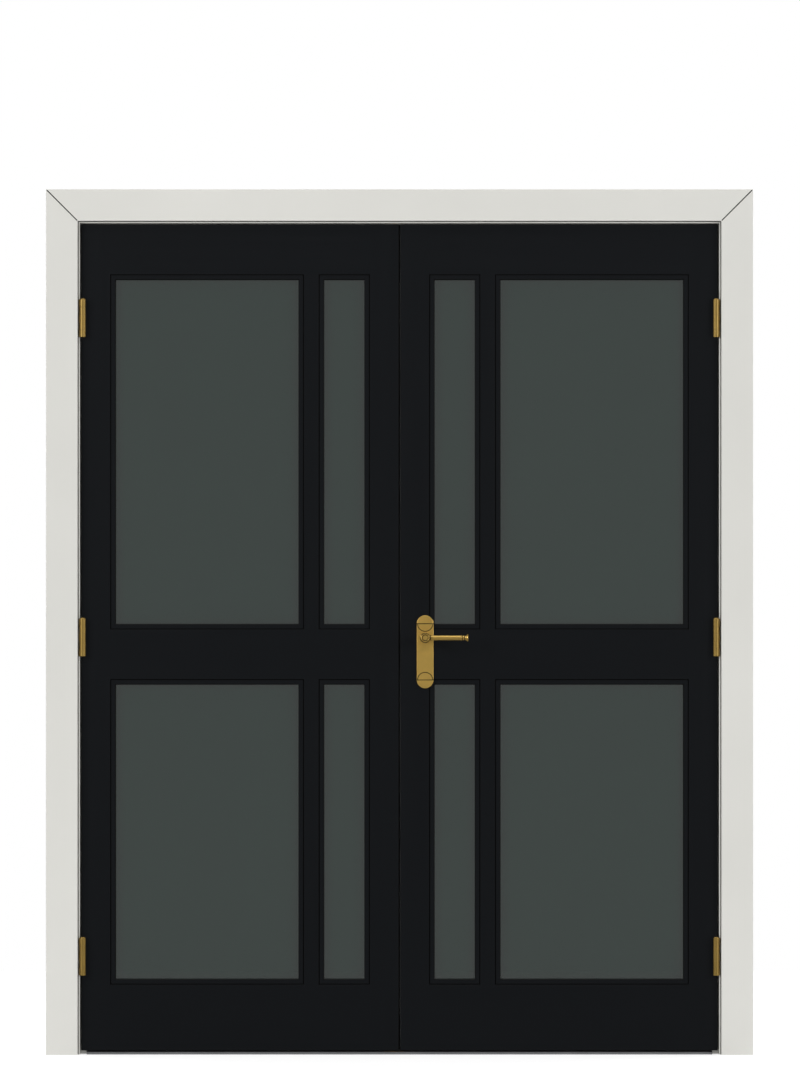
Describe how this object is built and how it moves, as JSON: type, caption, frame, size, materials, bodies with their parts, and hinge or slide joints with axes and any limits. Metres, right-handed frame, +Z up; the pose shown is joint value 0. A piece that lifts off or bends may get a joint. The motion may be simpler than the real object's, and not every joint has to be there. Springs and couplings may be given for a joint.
{
  "type": "french doors",
  "caption": "Pair of glazed timber doors hung in a lined and cased frame, with butt hinges, a lever latch, flush bolts and a threshold.",
  "frame": {"origin": "floor level, in the middle of the doorway's width and of the jambs' depth, on the threshold's underside", "axes": "+X along the doorway towards the latched leaf's hinges, +Y through the doorway away from the side that the leaves open to, +Z up"},
  "size_m": [1.695, 0.208, 2.075],
  "materials": {
    "frame_paint": "satin off-white paint over timber",
    "leaf_paint": "satin black paint over timber",
    "glass": "polished, smoked grey-green",
    "brass": "satin",
    "steel": "zinc plated",
    "threshold_metal": "grey anodised",
    "seal_pile": "black woven pile"
  },
  "bodies": {
    "frame": {"left_jamb": "frame_paint", "right_jamb": "frame_paint", "head_jamb": "frame_paint", "left_stop": "frame_paint", "right_stop": "frame_paint", "head_stop": "frame_paint", "front_left_casing": "frame_paint", "front_right_casing": "frame_paint", "front_head_casing": "frame_paint", "back_left_casing": "frame_paint", "back_right_casing": "frame_paint", "back_head_casing": "frame_paint", "threshold": "threshold_metal", "bolt_keeps": "brass", "jamb_hinge_plates": "brass", "hinge_pins": "brass", "frame_screws": "brass"},
    "left_leaf": {"left_hinge_stile": "leaf_paint", "left_meeting_stile": "leaf_paint", "left_top_rail": "leaf_paint", "left_lock_rail": "leaf_paint", "left_bottom_rail": "leaf_paint", "left_muntins": "leaf_paint", "meeting_seal": "seal_pile", "left_upper_wide_pane": "glass", "left_upper_narrow_pane": "glass", "left_lower_wide_pane": "glass", "left_lower_narrow_pane": "glass", "left_front_beads": "leaf_paint", "left_back_beads": "leaf_paint", "left_hinge_plates": "brass", "strike_plate": "brass", "flush_bolt_plates": "brass", "left_leaf_screws": "brass"},
    "right_leaf": {"right_hinge_stile": "leaf_paint", "right_meeting_stile": "leaf_paint", "right_top_rail": "leaf_paint", "right_lock_rail": "leaf_paint", "right_bottom_rail": "leaf_paint", "right_muntins": "leaf_paint", "right_upper_wide_pane": "glass", "right_upper_narrow_pane": "glass", "right_lower_wide_pane": "glass", "right_lower_narrow_pane": "glass", "right_front_beads": "leaf_paint", "right_back_beads": "leaf_paint", "right_hinge_plates": "brass", "latch_case": "steel", "front_backplate": "brass", "back_backplate": "brass", "right_leaf_screws": "brass", "latch_spring": "steel"},
    "lever": {"front_lever": "brass", "back_lever": "brass", "spindle": "steel", "latch_follower": "steel"},
    "latch": {"latch_bolt": "steel"},
    "top_bolt": {"top_bolt": "brass"},
    "bottom_bolt": {"bottom_bolt": "brass"}
  },
  "joints": [
    {"name": "left_leaf_swing", "type": "hinge", "parent": "frame", "child": "left_leaf", "pos_m": [-0.7595, -0.0735, 1.0005], "axis": [0, 0, -1], "range_deg": [0, 150]},
    {"name": "right_leaf_swing", "type": "hinge", "parent": "frame", "child": "right_leaf", "pos_m": [0.7595, -0.0735, 1.0005], "axis": [0, 0, 1], "range_deg": [0, 150]},
    {"name": "lever_turn", "type": "hinge", "parent": "right_leaf", "child": "lever", "pos_m": [0.0615, -0.0485, 1], "axis": [0, 1, 0], "range_deg": [0, 42], "stiffness_Nm_per_rad": 1.2, "springref_deg": -34.38},
    {"name": "latch_slide", "type": "slide", "parent": "right_leaf", "child": "latch", "axis": [1, 0, 0], "range_m": [0, 0.0088], "deforming": ["latch_spring"]},
    {"name": "top_bolt_slide", "type": "slide", "parent": "left_leaf", "child": "top_bolt", "axis": [0, 0, 1], "range_m": [0, 0.014]},
    {"name": "bottom_bolt_slide", "type": "slide", "parent": "left_leaf", "child": "bottom_bolt", "axis": [0, 0, -1], "range_m": [0, 0.0095]}
  ],
  "couplings": [
    {"joint": "latch_slide", "follows": "lever_turn", "m_per_rad": 0.012}
  ]
}
